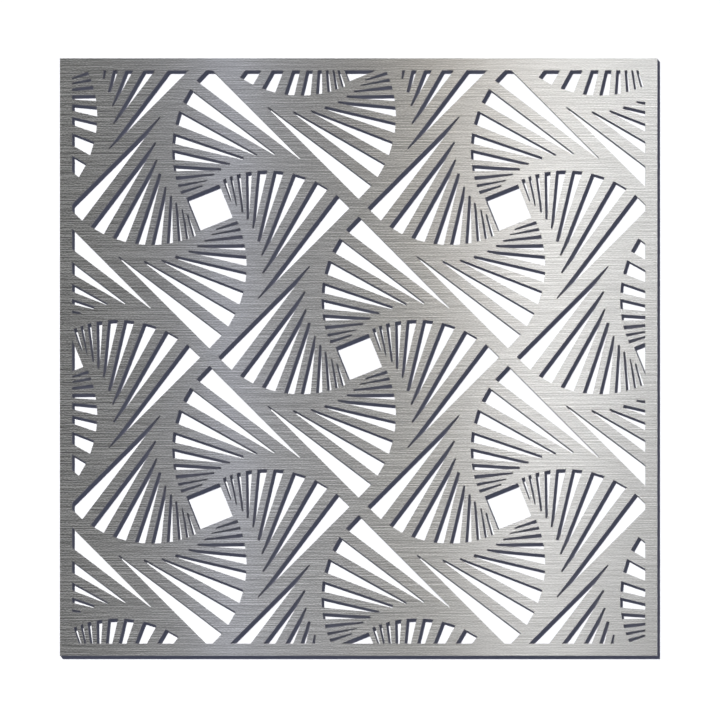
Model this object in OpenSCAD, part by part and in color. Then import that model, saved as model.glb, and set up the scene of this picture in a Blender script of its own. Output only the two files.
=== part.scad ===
// Decorative screen: one flat metal sheet with a geometric pattern cut right through it.
// The pattern is made of whirls. In each whirl four fans of tapering slots turn round a
// small square window. Straight diagonal webs part the whirls, and the pattern is cut off
// square inside a plain border.
// The sheet stands upright in the XZ plane with its front towards -Y. The origin is the
// middle of the bottom edge, halfway through the thickness.

/* [Sheet] */
// Width of the sheet
sheet_w = 600; // [300:5:1200]
// Height of the sheet
sheet_h = 600; // [300:5:1200]
// Thickness of the sheet
sheet_t = 3; // [1:0.5:8]
// Plain border between the edge of the sheet and the pattern
border_w = 12; // [6:0.1:40]
// Smallest remnant of an opening that is still cut at the border, in square millimetres
least_opening = 12; // [2:1:60]

/* [Whirls] */
// Distance from whirl to whirl along a row. The windows and fans grow with it
whirl_pitch = 300; // [250:5:600]
// Width of the diagonal webs between neighbouring whirls, at any pitch
web_w = 12.2; // [8:0.1:16]
// Side of the square window in the middle of a whirl
window_side = 36; // [30:0.1:40]
// Turn of the square window, in degrees
window_turn = 22; // [18:1:26]

/* [Fans] */
// Radius of the heel arc, on which the wide ends of the slots lie
heel_r = 111; // [95:0.1:130]
// Radius of the tip arc, on which the narrow ends of the slots lie
tip_r = 91; // [80:0.1:110]
// Length of the outermost slot, along the web
outer_slot = 129.6; // [120:0.1:134]
// Width of the rib between the innermost slot and the window
inner_rib = 4.9; // [3.5:0.1:6.5]
// Start of the innermost slot, ahead of the window's corner
inner_start = 3; // [1:0.1:5]
// End of the innermost slot, past the window's corner
inner_end = 20; // [16:0.1:22]
// Shares of the heel arc that the slots take, from the outermost slot inwards
heel_slots = [19, 15.3, 14.1, 10.4, 10.2, 6.4, 4.2, 3.2, 3.6];
// Shares of the heel arc that the ribs between those slots take
heel_ribs = [10.1, 9.4, 9, 6.1, 5.4, 5.3, 4.2, 3.8];
// Shares of the tip arc from the middle of one tip to the next
tip_steps = [26.2, 17.8, 14.3, 14.6, 10.5, 8.7, 9.2, 7.3];
// Widths of the tips
tip_widths = [1.4, 2, 1.9, 3, 1.9, 2.3, 1.9, 1.3, 1.7];

/* [Hidden] */

// The sizes of the window and the fans are given for this pitch
drawn_pitch = 300;
drawn_scale = whirl_pitch / drawn_pitch;

// Half the width and height of the field that holds the pattern
field = [sheet_w / 2 - border_w, sheet_h / 2 - border_w];

// Whirls stand on every second point of a grid, as the dark squares on a chessboard do
grid_step = whirl_pitch / 2;
grid_reach = [ceil(sheet_w / whirl_pitch), ceil(sheet_h / whirl_pitch)];
whirl_middles = [
    for (column = [-grid_reach.x : grid_reach.x])
        for (row = [-grid_reach.y : grid_reach.y])
            if ((column + row) % 2 == 0) [column, row] * grid_step
];

// Directions along the upper right web and along the top side of the turned window,
// and the directions from each of them away from the fan and from the window
along_web = [1, -1] / sqrt(2);
off_web = [1, 1] / sqrt(2);
along_window = [cos(window_turn), sin(window_turn)];
off_window = [-sin(window_turn), cos(window_turn)];
window_corner = (off_window - along_window) * window_side / 2 * drawn_scale;

// The heel arc runs from the web, straight above the middle of the whirl, to the
// innermost slot beside the window
first_heel = [0, grid_step - web_w / sqrt(2)];
last_heel = window_corner + (inner_rib * off_window - inner_start * along_window) * drawn_scale;

// The tip arc runs from the end of the outermost slot to the end of the innermost one
first_tip = first_heel + (outer_slot * along_web - tip_widths[0] / 2 * off_web) * drawn_scale;
last_tip = window_corner + (inner_rib * off_window + inner_end * along_window) * drawn_scale;

// Sum of the first numbers of a list
function sum_of(list, count) = count == 0 ? 0 : list[count - 1] + sum_of(list, count - 1);

heel_length = sum_of(heel_slots, len(heel_slots)) + sum_of(heel_ribs, len(heel_ribs));
tip_length = sum_of(tip_steps, len(tip_steps));

// Point at a share of the way along the arc from one point to another, with its centre on
// the left of the way
function on_arc(from, to, r, share) =
    let (
        way = to - from,
        half = norm(way) / 2,
        centre = (from + to) / 2 + [-way.y, way.x] / norm(way) * sqrt(r * r - half * half),
        angle = atan2(from.y - centre.y, from.x - centre.x) + share * 2 * asin(half / r)
    )
    centre + r * [cos(angle), sin(angle)];

function on_heel_arc(length) =
    on_arc(first_heel, last_heel, heel_r * drawn_scale, length / heel_length);

function on_tip_arc(length) =
    on_arc(first_tip, last_tip, tip_r * drawn_scale, length / tip_length);

// Outline of one slot: two corners on the heel arc and a square end at the tip arc
function slot_outline(slot) =
    let (
        start = sum_of(heel_slots, slot) + sum_of(heel_ribs, slot),
        outer_heel = on_heel_arc(start),
        inner_heel = on_heel_arc(start + heel_slots[slot]),
        tip = on_tip_arc(sum_of(tip_steps, slot)),
        run = tip - (outer_heel + inner_heel) / 2,
        half_tip = [-run.y, run.x] / norm(run) * tip_widths[slot] / 2 * drawn_scale
    )
    [outer_heel, inner_heel, tip - half_tip, tip + half_tip];

// Outline turned by quarter turns about the middle of the whirl
function turned(outline, quarters) = [
    for (p = outline)
        [p.x * cos(quarters * 90) - p.y * sin(quarters * 90),
         p.x * sin(quarters * 90) + p.y * cos(quarters * 90)]
];

window_outline = [for (quarters = [0 : 3]) each turned([window_corner], quarters)];

// All the openings of one whirl round its own middle
whirl_outlines = [
    window_outline,
    for (quarters = [0 : 3])
        for (slot = [0 : len(heel_slots) - 1]) turned(slot_outline(slot), quarters)
];

// Part of a convex outline that lies within a limit along one direction
function kept_within(outline, direction, limit) = [
    for (i = [0 : 1 : len(outline) - 1])
        let (
            here = outline[i],
            next = outline[(i + 1) % len(outline)],
            room_here = limit - here * direction,
            room_next = limit - next * direction
        )
        each concat(
            room_here >= 0 ? [here] : [],
            room_here * room_next < 0
                ? [here + (next - here) * room_here / (room_here - room_next)] : []
        )
];

// Part of a convex outline that lies in the field
function kept_in_field(outline) =
    kept_within(kept_within(kept_within(kept_within(
        outline, [1, 0], field.x), [-1, 0], field.x), [0, 1], field.y), [0, -1], field.y);

// Area inside an outline
function area(outline, i = 0) = i >= len(outline) ? 0
    : cross(outline[i], outline[(i + 1) % len(outline)]) / 2 + area(outline, i + 1);

openings = [
    for (middle = whirl_middles)
        for (outline = whirl_outlines)
            let (opening = kept_in_field([for (p = outline) p + middle]))
            if (abs(area(opening)) >= least_opening) opening
];

module screen_sheet() {
    color([0.72, 0.73, 0.74])
        translate([0, 0, sheet_h / 2])
            rotate([90, 0, 0])
                linear_extrude(sheet_t, center = true)
                    difference() {
                        square([sheet_w, sheet_h], center = true);
                        for (opening = openings) polygon(opening);
                    }
}

screen_sheet();
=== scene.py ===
"""Looks of the laser cut metal screen: one sheet with a brushed front, a rolled rear and darker
laser-cut edges, in front of a plain white wall and over a plain pale floor. The edges' dark slate
tone is partly their own and partly painted shade. Lengths are metres."""

import math

import bpy
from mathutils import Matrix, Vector


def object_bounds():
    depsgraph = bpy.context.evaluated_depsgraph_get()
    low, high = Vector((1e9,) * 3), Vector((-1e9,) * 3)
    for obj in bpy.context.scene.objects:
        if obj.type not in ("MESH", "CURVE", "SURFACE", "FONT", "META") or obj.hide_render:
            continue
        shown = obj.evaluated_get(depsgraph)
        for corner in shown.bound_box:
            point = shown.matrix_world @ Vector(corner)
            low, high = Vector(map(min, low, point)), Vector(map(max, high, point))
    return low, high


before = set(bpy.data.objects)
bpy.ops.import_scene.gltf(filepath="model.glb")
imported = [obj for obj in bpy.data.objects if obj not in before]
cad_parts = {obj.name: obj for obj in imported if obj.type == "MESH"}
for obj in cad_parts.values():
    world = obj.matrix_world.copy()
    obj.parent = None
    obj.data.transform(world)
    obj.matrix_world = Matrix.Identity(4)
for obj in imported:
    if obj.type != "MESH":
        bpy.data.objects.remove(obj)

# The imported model's own box, before anything is added, and its middle
CAD_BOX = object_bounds()
LOW, HIGH = CAD_BOX
MIDDLE = (LOW + HIGH) / 2

# Camera: a long lens in millimetres, square on to the front of the sheet. The width of the picture
# is measured at that front, and its middle is given across the sheet and up from the origin
LENS = 300.0
SENSOR = 36.0
VIEW_WIDTH = 0.7231
VIEW_CENTRE = (0.00138, 0.29697)
CLIP_START = 0.05
CLIP_END = 200.0

# Stage: a wall close behind the sheet and a floor a little below it
WALL_GAP = 0.0002
FLOOR_DROP = 0.0048
STAGE_REACH = 40.0
WALL_PAINT = (0.9, 0.9, 0.9)
FLOOR_PAINT = (0.85, 0.85, 0.85)
# Share of plain white in what the camera sees of the floor
FLOOR_GLOW = 0.5

# Key light: a sun that throws the sheet's shadow on the wall to the lower right. The way it
# shines, its strength, and how wide it looks in degrees
KEY_WAY = (0.90, 1.0, -1.16)
KEY_STRENGTH = 5.95
KEY_WIDTH = 1.0

# Tints of the strip lights
PLAIN = (1.0, 1.0, 1.0)
COOL = (0.98, 0.99, 1.04)
BLUE = (0.85, 0.92, 1.24)
WARM = (1.02, 1.02, 0.96)
AMBER = (1.45, 1.02, 0.50)

# Strip lights that show only in the sheet's reflections. They stand in three rows at one distance
# in front of it: one level with its middle, and one this far above and below. The sides of a strip
# lie on equal steps, counted from this place at the left. Each strip has its first step, its steps
# in width, its level and its tint
STRIP_AHEAD = 1.2
STRIP_RISE = 0.65
STRIP_HEIGHT = 0.6
STRIP_LEFT = -0.4575
STRIP_STEP = 0.075
STRIP_ROWS = (
    ("high", STRIP_RISE, (
        (0, 2, 0.7, WARM),
        (3, 2, 1.3, COOL),
        (7, 2, 0.5, AMBER),
        (9, 1, 2.4, WARM),
        (10, 1, 2.2, WARM),
        (11, 2, 4.4, PLAIN),
    )),
    ("level", 0.0, (
        (6, 2, 0.9, WARM),
        (8, 2, 3.7, PLAIN),
        (10, 3, 0.7, PLAIN),
    )),
    ("low", -STRIP_RISE, (
        (1, 3, 0.8, PLAIN),
        (4, 2, 1.7, COOL),
    )),
)

# One narrow strip light stands nearer, level with the middle of the sheet
NEAR_ACROSS = -0.14
NEAR_AHEAD = 0.4
NEAR_WIDTH = 0.04
NEAR_HEIGHT = 1.0
NEAR_LEVEL = 0.3

# World: plain white to the camera, and this tint where it lights a dull surface
WHITE = (1.0, 1.0, 1.0)
SHADE_TINT = (0.069, 0.0755, 0.117)
# The metal mirrors a grey room: its sides, its part in front of the sheet, and its part at the back
# of the sheet from low to high
ROOM_SIDES = (0.8, 0.8, 0.8)
ROOM_FRONT = (0.095, 0.095, 0.095)
ROOM_BACK_LOW = (0.40, 0.40, 0.41)
ROOM_BACK_HIGH = (0.85, 0.85, 0.85)
# Where the front and the back set in, by how squarely a direction points there, and where the back
# turns from low to high, by how steeply it points up
FRONT_SPAN = (0.75, 0.97)
BACK_SPAN = (0.20, 0.90)
RISE_SPAN = (-0.5, 0.6)
# Least level length that a direction is divided by, for one that points straight up or down
LEAST_LEVEL = 0.001

# Noise keeps mostly between these two, round this middle
NOISE_SPAN = (0.3, 0.7)
NOISE_MIDDLE = 0.5

# Brushed front: layers of lines, each with its features per metre across and up the sheet, its
# place in the noise, and its weight
LINE_LAYERS = (
    (7.0, 1300.0, 3.1, 0.87),
    (20.0, 1350.0, 7.7, 0.76),
    (80.0, 1600.0, 11.3, 0.55),
    (500.0, 1100.0, 17.9, 0.72),
)
# A share of the noise one step further up is taken off each layer, so that the lines stand apart.
# This gives each light line a dark side below it, partly the grain's own tone and partly painted
# light and shade like that of a ridge
LINE_STEP = 0.001
LINE_ECHO = 0.42
# Contrast of the lines from the left of the sheet to the right: share of the width, contrast. The
# lines are the metal's own grain, but this change in their contrast is painted light: heavier where
# the light on the sheet falls off, weaker under its highlight
LINE_CONTRAST_BY_LIGHT = (
    (0.00, 0.90),
    (0.05, 0.70),
    (0.15, 0.45),
    (0.30, 0.33),
    (0.47, 0.47),
    (0.65, 0.30),
    (0.85, 0.20),
    (1.00, 0.27),
)
# Gain of that contrast, and to what it drops over the last stretch at the top and the bottom
DEPTH_GAIN = 2.5
RIM_GAIN = 1.7
RIM_HEIGHT = 0.03
# Grey of the front where a line is neither dark nor light, and the limits of the grey
FRONT_GREY = 0.6272
FRONT_LIMITS = (0.128, 0.9984)
# Roughness, how much of it a light line loses, and the relief of the lines
FRONT_ROUGH = 0.38
LINE_SMOOTHING = 0.04
LINE_RELIEF = 0.00003
RELIEF_STRENGTH = 0.5
FRONT_ANISOTROPY = 0.97

# Noise of the other finishes: features per metre along each axis, detail, its fall from octave to
# octave, and its place in the noise
CLOUD = ((9.0, 0.0, 5.0), 3.0, 0.55, 5.3)
ROLLING = ((260.0, 0.0, 4.0), 2.0, 0.5, 2.9)
GRAIN = ((1400.0, 0.0, 1100.0), 1.0, 0.5, 9.1)
MARKS = ((2600.0, 60.0, 2600.0), 1.0, 0.5, 1.7)
PATCHES = ((130.0, 130.0, 130.0), 2.0, 0.5, 4.1)

# Rolled rear: weights of its cloud, rolling and grain, its colours, and its roughness over the cloud
REAR_WEIGHTS = (0.5, 0.3, 0.2)
REAR_DARK = (0.50, 0.50, 0.505)
REAR_LIGHT = (0.66, 0.66, 0.66)
REAR_ROUGH = (0.42, 0.52)

# Laser-cut edge: weights of its marks and patches, its colours, and its roughness over the marks.
# The colours are dark and slate blue partly as cut steel is, and partly as painted shade in the tone
# of the sheet's shadow on the wall
EDGE_WEIGHTS = (0.65, 0.35)
EDGE_DARK = (0.055, 0.056, 0.075)
EDGE_LIGHT = (0.150, 0.150, 0.180)
EDGE_ROUGH = (0.60, 0.45)
EDGE_METALLIC = 0.1

# A face whose normal has more than this along an axis looks along that axis
FACING = 0.5


# ---------------------------------------------------------------- node helpers

class Graph:
    """A short way to write a node tree."""

    def __init__(self, tree):
        self.tree = tree
        tree.nodes.clear()

    def node(self, kind, **settings):
        """A new node with its settings."""
        made = self.tree.nodes.new(kind)
        for name, value in settings.items():
            setattr(made, name, value)
        return made

    def feed(self, socket, value):
        """Links a socket, or sets its value."""
        if isinstance(value, bpy.types.NodeSocket):
            self.tree.links.new(value, socket)
        elif isinstance(value, tuple) and len(value) == 3 and socket.type == "RGBA":
            socket.default_value = (*value, 1.0)
        else:
            socket.default_value = value

    def feed_all(self, node, values):
        """Feeds a node's first sockets in their order."""
        for socket, value in zip(node.inputs, values):
            self.feed(socket, value)

    def math(self, operation, a, b=0.0, c=0.0):
        """One step of arithmetic."""
        made = self.node("ShaderNodeMath", operation=operation)
        self.feed_all(made, (a, b, c))
        return made.outputs[0]

    def weighed(self, weights, values):
        """Sum of values, each times its weight."""
        total = 0.0
        for weight, value in zip(weights, values):
            total = self.math("MULTIPLY_ADD", value, weight, total)
        return total

    def parts(self, vector):
        """The x, y and z of a vector."""
        made = self.node("ShaderNodeSeparateXYZ")
        self.feed_all(made, (vector,))
        return made.outputs

    def mapped(self, value, low, high, to_low=0.0, to_high=1.0, smooth=False):
        """A value moved from one range to another, and kept inside it."""
        made = self.node("ShaderNodeMapRange")
        made.interpolation_type = "SMOOTHSTEP" if smooth else "LINEAR"
        for name, given in zip(("Value", "From Min", "From Max", "To Min", "To Max"),
                               (value, low, high, to_low, to_high)):
            self.feed(made.inputs[name], given)
        return made.outputs["Result"]

    def read_off(self, value, points):
        """A number read off the line through points, for a value from 0 to 1."""
        made = self.node("ShaderNodeValToRGB")
        self.feed(made.inputs["Fac"], value)
        stops = made.color_ramp.elements
        while len(stops) < len(points):
            stops.new(1.0)
        for stop, (place, level) in zip(stops, points):
            stop.position = place
            stop.color = (level, level, level, 1.0)
        return made.outputs["Color"]

    def mix(self, share, a, b):
        """Colour a where share is 0, colour b where it is 1."""
        made = self.node("ShaderNodeMix", data_type="RGBA")
        self.feed(made.inputs["Factor"], share)
        self.feed(made.inputs[6], a)
        self.feed(made.inputs[7], b)
        return made.outputs[2]

    def blend(self, share, a, b):
        """Number a where share is 0, number b where it is 1."""
        made = self.node("ShaderNodeMix", data_type="FLOAT")
        self.feed(made.inputs["Factor"], share)
        self.feed(made.inputs[2], a)
        self.feed(made.inputs[3], b)
        return made.outputs[0]

    def stretched(self, place, scale, shift, up):
        """Coordinates in metres times a scale for each axis, taken from a distance further up."""
        made = self.node("ShaderNodeMapping")
        self.feed(made.inputs["Vector"], place)
        made.inputs["Scale"].default_value = scale
        made.inputs["Location"].default_value = (shift, shift, shift + up * scale[2])
        return made.outputs["Vector"]

    def noise(self, place, scale, detail=0.0, fall=0.5, shift=0.0, up=0.0):
        """Noise with its own count of features per metre along each axis."""
        made = self.node("ShaderNodeTexNoise")
        self.feed(made.inputs["Vector"], self.stretched(place, scale, shift, up))
        made.inputs["Scale"].default_value = 1.0
        made.inputs["Detail"].default_value = detail
        made.inputs["Roughness"].default_value = fall
        return made.outputs["Fac"]

    def lines(self, place, across, up, shift):
        """Lines along x as noise about 0, less a share of the noise one line further up, which
        paints a dark side below each light line like the shade of a ridge.
        """
        scale = (across, 0.0, up)
        here = self.noise(place, scale, shift=shift)
        above = self.noise(place, scale, shift=shift, up=LINE_STEP)
        middle = NOISE_MIDDLE * (1.0 - LINE_ECHO)
        return self.math("SUBTRACT", self.math("MULTIPLY_ADD", above, -LINE_ECHO, here), middle)

    def bump(self, height, distance, strength):
        """The normal of a surface with a relief."""
        made = self.node("ShaderNodeBump")
        self.feed(made.inputs["Height"], height)
        made.inputs["Distance"].default_value = distance
        made.inputs["Strength"].default_value = strength
        return made.outputs["Normal"]

    def paint(self, colour):
        """A dull shader of one colour."""
        made = self.node("ShaderNodeBsdfDiffuse")
        self.feed(made.inputs["Color"], colour)
        return made.outputs[0]

    def mix_shaders(self, share, a, b):
        """Shader a where share is 0, shader b where it is 1."""
        made = self.node("ShaderNodeMixShader")
        self.feed_all(made, (share, a, b))
        return made.outputs[0]

    def finish(self, shader, kind="ShaderNodeOutputMaterial"):
        """Ends the tree with a shader."""
        self.feed(self.node(kind).inputs["Surface"], shader)


def new_material(name):
    """An empty material and its node tree."""
    material = bpy.data.materials.new(name)
    material.use_nodes = True
    return material, Graph(material.node_tree)


# ---------------------------------------------------------------- the sheet's material

def brushed_front(g, place):
    """Shader of the brushed front: bare metal with fine lines across the width, whose contrast from
    left to right is partly painted light.
    """
    x, _, z = g.parts(place)
    layers = [g.lines(place, across, up, shift) for across, up, shift, _ in LINE_LAYERS]
    streak = g.weighed([weight for *_, weight in LINE_LAYERS], layers)

    half_height = HIGH.z - MIDDLE.z
    from_middle = g.math("ABSOLUTE", g.math("SUBTRACT", z, MIDDLE.z))
    gain = g.mapped(from_middle, half_height - RIM_HEIGHT, half_height, DEPTH_GAIN, RIM_GAIN)
    # Painted light: the lines' contrast across the sheet follows how the light falls on it
    painted_light_contrast = g.math("MULTIPLY", g.read_off(g.mapped(x, LOW.x, HIGH.x), LINE_CONTRAST_BY_LIGHT), gain)
    swing = g.math("EXPONENT", g.math("MULTIPLY", streak, painted_light_contrast))
    grey = g.mapped(g.math("MULTIPLY", swing, FRONT_GREY), *FRONT_LIMITS, *FRONT_LIMITS)

    # The lines run across, so the highlight is drawn out up and down the sheet
    upright = g.node("ShaderNodeCombineXYZ")
    upright.inputs["Z"].default_value = 1.0

    metal = g.node("ShaderNodeBsdfPrincipled")
    metal.inputs["Metallic"].default_value = 1.0
    metal.inputs["Anisotropic"].default_value = FRONT_ANISOTROPY
    g.feed(metal.inputs["Base Color"], grey)
    g.feed(metal.inputs["Roughness"], g.math("MULTIPLY_ADD", streak, -LINE_SMOOTHING, FRONT_ROUGH))
    g.feed(metal.inputs["Normal"], g.bump(streak, LINE_RELIEF, RELIEF_STRENGTH))
    g.feed(metal.inputs["Tangent"], upright.outputs[0])
    return metal.outputs[0]


def rolled_rear(g, place):
    """Colour and roughness of the rear, left as it was rolled: dull, soft and nearly even."""
    cloud = g.noise(place, *CLOUD)
    mixed = g.weighed(REAR_WEIGHTS, (cloud, g.noise(place, *ROLLING), g.noise(place, *GRAIN)))
    colour = g.mix(g.mapped(mixed, *NOISE_SPAN), REAR_DARK, REAR_LIGHT)
    return colour, g.mapped(cloud, *NOISE_SPAN, *REAR_ROUGH)


def cut_edge(g, place):
    """Colour and roughness of the laser-cut edges: dark, with fine marks through the thickness. The
    dark slate tone is partly the cut steel's own and partly painted shade.
    """
    marks = g.noise(place, *MARKS)
    mixed = g.weighed(EDGE_WEIGHTS, (marks, g.noise(place, *PATCHES)))
    colour = g.mix(g.mapped(mixed, *NOISE_SPAN), EDGE_DARK, EDGE_LIGHT)
    return colour, g.mapped(marks, *NOISE_SPAN, *EDGE_ROUGH)


def sheet_material():
    """One material for the sheet, told apart by the way that a face looks."""
    material, g = new_material("brushed_sheet")
    place = g.node("ShaderNodeTexCoord").outputs["Object"]
    _, facing, _ = g.parts(g.node("ShaderNodeNewGeometry").outputs["True Normal"])
    is_front = g.math("LESS_THAN", facing, -FACING)
    is_rear = g.math("GREATER_THAN", facing, FACING)

    front = brushed_front(g, place)
    rear_colour, rear_rough = rolled_rear(g, place)
    edge_colour, edge_rough = cut_edge(g, place)

    other = g.node("ShaderNodeBsdfPrincipled")
    g.feed(other.inputs["Base Color"], g.mix(is_rear, edge_colour, rear_colour))
    g.feed(other.inputs["Roughness"], g.blend(is_rear, edge_rough, rear_rough))
    g.feed(other.inputs["Metallic"], g.blend(is_rear, EDGE_METALLIC, 1.0))
    g.finish(g.mix_shaders(is_front, other.outputs[0], front))
    return material


# ---------------------------------------------------------------- stage

def wall_material():
    """White paint on the front of the wall. From behind it is clear."""
    material, g = new_material("white_wall")
    is_back = g.node("ShaderNodeNewGeometry").outputs["Backfacing"]
    clear = g.node("ShaderNodeBsdfTransparent").outputs[0]
    g.finish(g.mix_shaders(is_back, g.paint(WALL_PAINT), clear))
    return material


def floor_material():
    """Pale paint. The camera sees it partly as plain white, so the shadow on it stays pale."""
    material, g = new_material("pale_floor")
    glow = g.node("ShaderNodeEmission")
    g.feed(glow.inputs["Color"], WHITE)
    glow.inputs["Strength"].default_value = 1.0
    is_seen = g.node("ShaderNodeLightPath").outputs["Is Camera Ray"]
    share = g.math("MULTIPLY", is_seen, FLOOR_GLOW)
    g.finish(g.mix_shaders(share, g.paint(FLOOR_PAINT), glow.outputs[0]))
    return material


def hide_from(thing, *rays):
    """Keeps an object out of some kinds of ray."""
    for ray in rays:
        setattr(thing, "visible_" + ray, False)


def plane(name, corners, material):
    """A flat piece of the stage."""
    mesh = bpy.data.meshes.new(name)
    mesh.from_pydata(corners, [], [(0, 1, 2, 3)])
    mesh.materials.append(material)
    made = bpy.data.objects.new(name, mesh)
    bpy.context.scene.collection.objects.link(made)
    return made


def make_stage():
    """The wall, which only the camera sees, and the floor, which keeps the sheet's shadow."""
    far = STAGE_REACH
    y = HIGH.y + WALL_GAP
    wall = plane("wall", [(-far, y, -far), (far, y, -far), (far, y, far), (-far, y, far)],
                 wall_material())
    hide_from(wall, "diffuse", "glossy", "transmission", "shadow", "volume_scatter")
    z = LOW.z - FLOOR_DROP
    floor = plane("floor", [(-far, -far, z), (far, -far, z), (far, far, z), (-far, far, z)],
                  floor_material())
    hide_from(floor, "glossy", "diffuse", "shadow")


# ---------------------------------------------------------------- light

def room_colour(g):
    """The grey room that the metal mirrors, by the direction of the ray."""
    x, y, z = g.parts(g.node("ShaderNodeTexCoord").outputs["Generated"])
    level = g.math("SQRT", g.math("MULTIPLY_ADD", x, x, g.math("MULTIPLY", y, y)))
    ahead = g.math("DIVIDE", g.math("MULTIPLY", y, -1.0), g.math("MAXIMUM", level, LEAST_LEVEL))
    in_front = g.mapped(ahead, *FRONT_SPAN, smooth=True)
    in_back = g.mapped(y, *BACK_SPAN, smooth=True)
    high = g.mapped(z, *RISE_SPAN, smooth=True)
    back = g.mix(high, ROOM_BACK_LOW, ROOM_BACK_HIGH)
    return g.mix(in_back, g.mix(in_front, ROOM_SIDES, ROOM_FRONT), back)


def make_world():
    """A world that differs by kind of ray. Rays alone meet it: it isn't sampled as a light."""
    world = bpy.data.worlds.new("studio")
    bpy.context.scene.world = world
    world.use_nodes = True
    world.cycles.sampling_method = "NONE"
    g = Graph(world.node_tree)
    rays = g.node("ShaderNodeLightPath").outputs
    colour = g.mix(rays["Is Diffuse Ray"], room_colour(g), SHADE_TINT)
    back = g.node("ShaderNodeBackground")
    g.feed(back.inputs["Color"], g.mix(rays["Is Camera Ray"], colour, WHITE))
    g.finish(back.outputs[0], "ShaderNodeOutputWorld")


def light(name, kind, place, way, **settings):
    """A light at a place that shines a given way."""
    data = bpy.data.lights.new(name, kind)
    for setting, value in settings.items():
        setattr(data, setting, value)
    made = bpy.data.objects.new(name, data)
    made.location = place
    made.rotation_euler = Vector(way).to_track_quat("-Z", "Y").to_euler()
    bpy.context.scene.collection.objects.link(made)
    return made


def strip_light(name, lit, place, width, height, level, tint):
    """A strip light that faces the sheet. Its brightness doesn't depend on its size."""
    made = light(name, "AREA", place, (0, 1, 0), energy=level * math.pi * width * height,
                 shape="RECTANGLE", size=width, size_y=height, color=tint)
    hide_from(made, "camera", "diffuse")
    made.light_linking.receiver_collection = lit


def make_lights(sheet):
    """The key light, and the strip lights, which light the sheet alone."""
    key = light("key", "SUN", -Vector(KEY_WAY), KEY_WAY, energy=KEY_STRENGTH,
                angle=math.radians(KEY_WIDTH))
    hide_from(key, "glossy")
    lit = bpy.data.collections.new("lit_by_strips")
    lit.objects.link(sheet)
    for row, rise, strips in STRIP_ROWS:
        for count, (first, steps, level, tint) in enumerate(strips, start=1):
            place = (STRIP_LEFT + (first + steps / 2) * STRIP_STEP, -STRIP_AHEAD, MIDDLE.z + rise)
            strip_light(f"{row}_{count}", lit, place, steps * STRIP_STEP, STRIP_HEIGHT, level, tint)
    place = (NEAR_ACROSS, -NEAR_AHEAD, MIDDLE.z)
    strip_light("near", lit, place, NEAR_WIDTH, NEAR_HEIGHT, NEAR_LEVEL, BLUE)


def make_camera():
    """The camera, square on to the front."""
    data = bpy.data.cameras.new("camera")
    data.lens = LENS
    data.sensor_width = SENSOR
    data.clip_start = CLIP_START
    data.clip_end = CLIP_END
    made = bpy.data.objects.new("camera", data)
    across, height = VIEW_CENTRE
    made.location = (across, LOW.y - VIEW_WIDTH * LENS / SENSOR, height)
    made.rotation_euler = (math.radians(90), 0, 0)
    bpy.context.scene.collection.objects.link(made)
    bpy.context.scene.camera = made


def dress_sheet(sheet):
    """Gives the sheet its own material alone."""
    sheet.data.materials.clear()
    sheet.data.materials.append(sheet_material())


screen_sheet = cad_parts["screen_sheet"]
make_camera()
make_world()
make_lights(screen_sheet)
make_stage()
dress_sheet(screen_sheet)
bpy.context.scene.view_settings.view_transform = "Standard"
